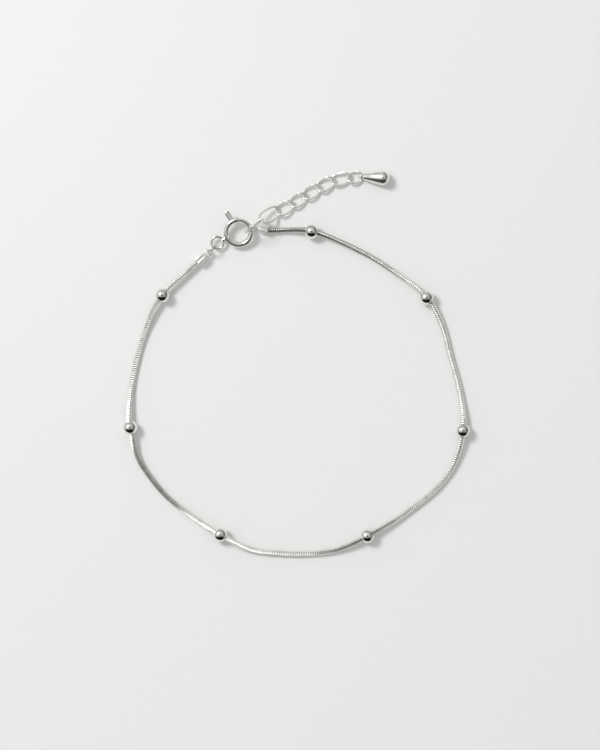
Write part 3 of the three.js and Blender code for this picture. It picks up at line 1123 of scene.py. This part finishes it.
@dataclass
class SpringRingClasp:
    """The spring ring clasp: a hollow ring with a slot, a tail loop, and the tongue inside it.

    Angles go round the ring, in degrees. The overrun is how many of them the tools that hollow
    the ring out reach past its open ends.
    """

    radius: float = 2.05 * MM
    tube: float = 0.92 * MM
    bore: float = 0.72 * MM
    tongue: float = 0.62 * MM
    tube_start: float = 92.0
    tube_end: float = 358.0
    hollow_end: float = 191.0
    recess_start: float = 346.0
    slot_start: float = 108.0
    slot_end: float = 187.0
    slot_height: float = 0.5 * MM
    slot_reach: float = 2.8 * MM
    tongue_start: float = 1.0
    tongue_end: float = 131.0
    trigger_angle: float = 120.0
    trigger_reach: float = 4.0 * MM
    trigger_width: float = 0.82 * MM
    trigger_thickness: float = 0.42 * MM
    tail_angle: float = 206.0
    tail_offset: float = 3.85 * MM
    tail_radius: float = 0.98 * MM
    tail_wire: float = 0.44 * MM
    neck_width: float = 0.7 * MM
    neck_start: float = 2.2 * MM
    neck_end: float = 2.95 * MM
    overrun: float = 6.0
    ring_dome: float = 0.05 * MM
    tongue_dome: float = 0.1 * MM
    trigger_edge: float = 0.12 * MM
    edge_segments: int = 4
    sides: int = 32
    tail_sides: int = 24
    tail_steps: int = 72
    slot_steps: int = 24
    trigger_steps: int = 16
    degrees_per_step: float = 3.0

    @staticmethod
    def plane() -> Matrix:
        """Finds the clasp's own axes from its joint.

        Returns:
            The axes: Z is the joint's axis, and the origin is the joint's place.
        """
        joint = frame["joints"][0]
        lean = Vector((0, 0, 1)).rotation_difference(Vector(joint["axis"]))
        return Matrix.Translation(Vector(joint["pos_m"])) @ lean.to_matrix().to_4x4()

    def rod(self, start: float, end: float, width: float, dome: float = 0.0) -> Shell:
        """A round rod along the ring's middle line.

        Args:
            start: Where it starts, in degrees round the ring.
            end: Where it ends.
            width: Its diameter in metres.
            dome: How far the rounding of its ends reaches.

        Returns:
            The rod.
        """
        steps = math.ceil((end - start) / self.degrees_per_step)
        line = arc(self.radius, start, end)
        return wire(line, width / 2, steps, self.sides, closed=False, dome=dome)

    def ring(self) -> Object:
        """Makes the hollow ring with its slot, neck and tail loop.

        Returns:
            The ring, in its own axes.
        """
        tube = self.rod(self.tube_start, self.tube_end, self.tube, self.ring_dome)
        ring = tube.piece("clasp_ring")
        channel = self.rod(self.tube_start - self.overrun, self.hollow_end, self.bore)
        recess = self.rod(self.recess_start, self.tube_end + self.overrun, self.bore)
        combine(ring, channel.plus(recess).piece("channel"), Join.CUT)
        outline = []
        for reach, turns in (
            (self.slot_reach, (self.slot_start, self.slot_end)),
            (self.radius, (self.slot_end, self.slot_start)),
        ):
            outline += bow((0.0, 0.0), (reach, reach), turns, self.slot_steps)
        slot = slab(outline, -self.slot_height / 2, self.slot_height / 2)
        combine(ring, slot.piece("slot"), Join.CUT)
        turn = Matrix.Rotation(math.radians(self.tail_angle), 4, "Z")
        neck = bar(self.neck_start, self.neck_end, self.neck_width, self.sides)
        combine(ring, neck.placed(turn).piece("neck"), Join.ADD)
        tail = closed_ring(self.tail_radius, self.tail_wire, self.tail_steps, self.tail_sides)
        shift = Matrix.Translation((self.tail_offset, 0, 0))
        combine(ring, tail.placed(turn @ shift).piece("tail"), Join.ADD)
        return ring

    def tongue_with_trigger(self) -> Object:
        """Makes the curved tongue with the flat, round-ended trigger.

        Returns:
            The tongue, in the clasp's axes.
        """
        tongue = self.rod(self.tongue_start, self.tongue_end, self.tongue, self.tongue_dome)
        piece = tongue.piece("clasp_trigger_tongue")
        half = self.trigger_width / 2
        tip = bow((self.trigger_reach - half, 0.0), (half, half), (-90, 90), self.trigger_steps)
        outline = [(self.radius, -half), *tip, (self.radius, half)]
        plate = slab(outline, -self.trigger_thickness / 2, self.trigger_thickness / 2)
        turn = Matrix.Rotation(math.radians(self.trigger_angle), 4, "Z")
        trigger = plate.placed(turn).piece("trigger")
        soften(trigger, self.trigger_edge, self.edge_segments)
        combine(piece, trigger, Join.ADD)
        return piece

    def build(self) -> None:
        """Builds both pieces in the clasp's leaning plane."""
        for piece, node, body in (
            (self.ring(), "spring_ring", Body.BRACELET),
            (self.tongue_with_trigger(), "clasp_tongue", Body.TONGUE),
        ):
            piece.data.transform(self.plane())
            shade(piece.data)
            dress(piece, CLASP_SILVER)
            hand_over(piece, [node], body)


@dataclass
class Extender:
    """The extender's soldered wire links, each an oval whose wire rises and falls twice."""

    thickness: float = 0.42 * MM
    twist: float = 0.3 * MM
    squareness: float = 0.86
    count: int = 7
    steps: int = 96
    sides: int = 20

    def line(self, half_length: float, half_width: float) -> Callable[[float], Vector]:
        """A link's middle line.

        Args:
            half_length: Half of the oval's length.
            half_width: Half of its width.

        Returns:
            The line, as a point for each share of its length.
        """

        def drawn_out(value: float) -> float:
            """A sine or cosine, swollen towards the oval's shoulders."""
            return math.copysign(abs(value) ** self.squareness, value)

        def point(share: float) -> Vector:
            """The line's point at a share of its length."""
            turn = 2 * math.pi * share
            return Vector((
                half_length * drawn_out(math.cos(turn)),
                half_width * drawn_out(math.sin(turn)),
                self.twist * math.sin(2 * turn),
            ))

        return point

    def build(self) -> None:
        """Builds each link as its CAD node lies, and no lower than the table."""
        for number in range(1, self.count + 1):
            node = f"extender_link_{number}"
            place, reach = main_axes(node)
            line = self.line(reach.x - self.thickness / 2, reach.y - self.thickness / 2)
            skin = wire(line, self.thickness / 2, self.steps, self.sides, closed=True)
            piece = skin.placed(place).piece(f"wire_link_{number}")
            lowest = min(v.co.z for v in piece.data.vertices)
            piece.data.transform(Matrix.Translation((0, 0, max(-lowest, 0.0))))
            dress(piece, EXTENDER_SILVER)
            hand_over(piece, [node])


# ---- The studio ----


@dataclass
class Studio:
    """A pale table, a window up on the left, a bright wall behind it, and a dark room in front.

    An edge pair says where a change of brightness starts and ends: measured along the way to the
    window or the fill light for glow, flare and fill, along Y for front, along Z for horizon, and
    from the point overhead for viewer.
    """

    view_middle: Place = Place(0.0, 0.0, 0.0)
    view_height: float = 123.0 * MM
    camera_distance: float = 0.4
    sensor_width_mm: float = 36.0
    clip: Pair = (0.01, 10.0)
    table_size: float = 4.0
    table_drop: float = 0.02 * MM
    window_azimuth: float = 144.0
    window_elevation: float = 48.0
    window_distance: float = 1.0
    window_size: float = 0.3
    window_power: float = 5.3
    pool_power: float = 0.13
    pool_spread: float = 28.0
    pool_lamp_size: float = 0.02
    pool_aim_mm: tuple[float, float, float] = (-64.0, 68.0, 0.0)
    pool_offset_mm: tuple[float, float, float] = (-60.0, 60.0, 300.0)
    ambient: float = 0.7
    bright: float = 0.9
    dim: float = 0.05
    dark: float = 0.04
    flare: float = 0.2
    low_light: float = 0.25
    glow_edges: Pair = (-0.35, 0.9)
    flare_edges: Pair = (0.9, 1.0)
    front_edges: Pair = (-0.54, -0.16)
    horizon_edges: Pair = (0.0, 0.4)
    viewer_shape: tuple[float, float, float] = (0.55, 1.0, 0.0)
    viewer_edges: Pair = (0.12, 0.2)
    fill: float = 0.22
    fill_azimuth: float = -22.0
    fill_elevation: float = 14.0
    fill_edges: Pair = (0.86, 0.98)
    backdrop: str = "#DEDEDC"

    @staticmethod
    def towards(azimuth: float, elevation: float) -> Vector:
        """The direction at an azimuth from +X and an elevation, both in degrees."""
        a, e = math.radians(azimuth), math.radians(elevation)
        return Vector((math.cos(a) * math.cos(e), math.sin(a) * math.cos(e), math.sin(e)))

    def table(self) -> None:
        """Lays the table top just under the bracelet."""
        half = self.table_size / 2
        corners = [(-half, -half), (half, -half), (half, half), (-half, half)]
        mesh = bpy.data.meshes.new("table")
        mesh.from_pydata([(x, y, -self.table_drop) for x, y in corners], [], [(0, 1, 2, 3)])
        table = new_object("table", mesh)
        dress(table, TABLE_LAMINATE)

    def room(self) -> None:
        """What the silver reflects: a bright side, a dark side, and the dark spot of the viewer."""
        world = bpy.data.worlds.new("room")
        bpy.context.scene.world = world
        tree = empty_tree(world)
        way = add_node(tree, "ShaderNodeTexCoord").outputs["Generated"]
        parts = add_node(tree, "ShaderNodeSeparateXYZ", {"Vector": way}).outputs

        def along(azimuth: float, elevation: float) -> NodeSocket:
            """How far a ray points along a direction, as a cosine."""
            pair = {0: way, 1: tuple(self.towards(azimuth, elevation))}
            return add_node(tree, "ShaderNodeVectorMath", pair, operation="DOT_PRODUCT").outputs["Value"]

        def joined(a: NodeSocket, b: NodeSocket, operation: str = "MULTIPLY") -> NodeSocket:
            """The product of two brightnesses, or their sum."""
            return add_node(tree, "ShaderNodeMath", {0: a, 1: b}, operation=operation).outputs[0]

        window = along(self.window_azimuth, self.window_elevation)
        glow = ramp(tree, window, self.glow_edges, (self.dim, self.bright), "LINEAR")
        flare = ramp(tree, window, self.flare_edges, (0.0, self.flare))
        wall = joined(glow, flare, "ADD")
        front = ramp(tree, parts["Y"], self.front_edges, (self.dark, 1.0))
        horizon = ramp(tree, parts["Z"], self.horizon_edges, (self.low_light, 1.0))
        across = add_node(tree, "ShaderNodeVectorMath", {
            0: way, 1: self.viewer_shape,
        }, operation="MULTIPLY").outputs["Vector"]
        offset = add_node(tree, "ShaderNodeVectorMath", {0: across}, operation="LENGTH")
        viewer = ramp(tree, offset.outputs["Value"], self.viewer_edges, (self.dark, 1.0))
        fill = along(self.fill_azimuth, self.fill_elevation)
        fill = ramp(tree, fill, self.fill_edges, (0.0, self.fill))
        light = joined(joined(joined(wall, front), joined(viewer, horizon)), fill, "ADD")
        reflected = add_node(tree, "ShaderNodeBackground", {"Strength": light})
        soft = add_node(tree, "ShaderNodeBackground", {"Strength": self.ambient})
        seen = add_node(tree, "ShaderNodeBackground", {"Color": linear(self.backdrop)})
        path = add_node(tree, "ShaderNodeLightPath")
        mirrored = add_node(tree, "ShaderNodeMixShader", {
            0: path.outputs["Is Glossy Ray"], 1: soft.outputs[0], 2: reflected.outputs[0],
        })
        mix = add_node(tree, "ShaderNodeMixShader", {
            0: path.outputs["Is Camera Ray"], 1: mirrored.outputs[0], 2: seen.outputs[0],
        })
        add_node(tree, "ShaderNodeOutputWorld", {"Surface": mix.outputs[0]})

    @staticmethod
    def lamp(data: Light, place: Vector, aim: Vector, mirrored: bool) -> None:
        """Hangs a light that shines on the table.

        Args:
            data: The light.
            place: Where it hangs.
            aim: The point that it shines at.
            mirrored: True where the silver shows it.
        """
        light = new_object(data.name, data)
        light.location = place
        light.rotation_mode = "QUATERNION"
        light.rotation_quaternion = (place - aim).to_track_quat("Z", "Y")
        light.visible_camera = False
        light.visible_glossy = mirrored

    def lights(self) -> None:
        """The window's light, which casts the shadows, and its pool beyond the far left corner."""
        window = bpy.data.lights.new("window", "AREA")
        window.shape = "DISK"
        window.size = self.window_size
        window.energy = self.window_power
        way = self.towards(self.window_azimuth, self.window_elevation)
        self.lamp(window, way * self.window_distance, Vector(), mirrored=True)
        pool = bpy.data.lights.new("window_pool", "SPOT")
        pool.energy = self.pool_power
        pool.spot_size = math.radians(self.pool_spread)
        pool.spot_blend = 1.0
        pool.shadow_soft_size = self.pool_lamp_size
        aim = Vector(self.pool_aim_mm) * MM
        self.lamp(pool, aim + Vector(self.pool_offset_mm) * MM, aim, mirrored=False)

    def camera(self) -> None:
        """The camera, straight above the middle of the view."""
        data = bpy.data.cameras.new("camera")
        data.sensor_width = self.sensor_width_mm
        data.lens = data.sensor_width * self.camera_distance / self.view_height
        data.clip_start, data.clip_end = self.clip
        camera = new_object("camera", data)
        camera.location = self.view_middle.point() + Vector((0, 0, self.camera_distance))
        bpy.context.scene.camera = camera

    def build(self) -> None:
        """Sets up the table, the light, the room and the camera."""
        self.camera()
        self.table()
        self.room()
        self.lights()
        bpy.context.scene.view_settings.view_transform = "Standard"


def main() -> None:
    """Builds the bracelet piece by piece, and then the studio round it."""
    logging.basicConfig(level=logging.INFO, format="%(name)s: %(message)s")
    parts = (SnakeChain, Beads, EndCaps, OpenRings, SpringRingClasp, Extender, Drop)
    for part in parts:
        part().build()
        LOG.info("%s done", part.__name__)
    Studio().build()


if __name__ == "__main__":
    main()
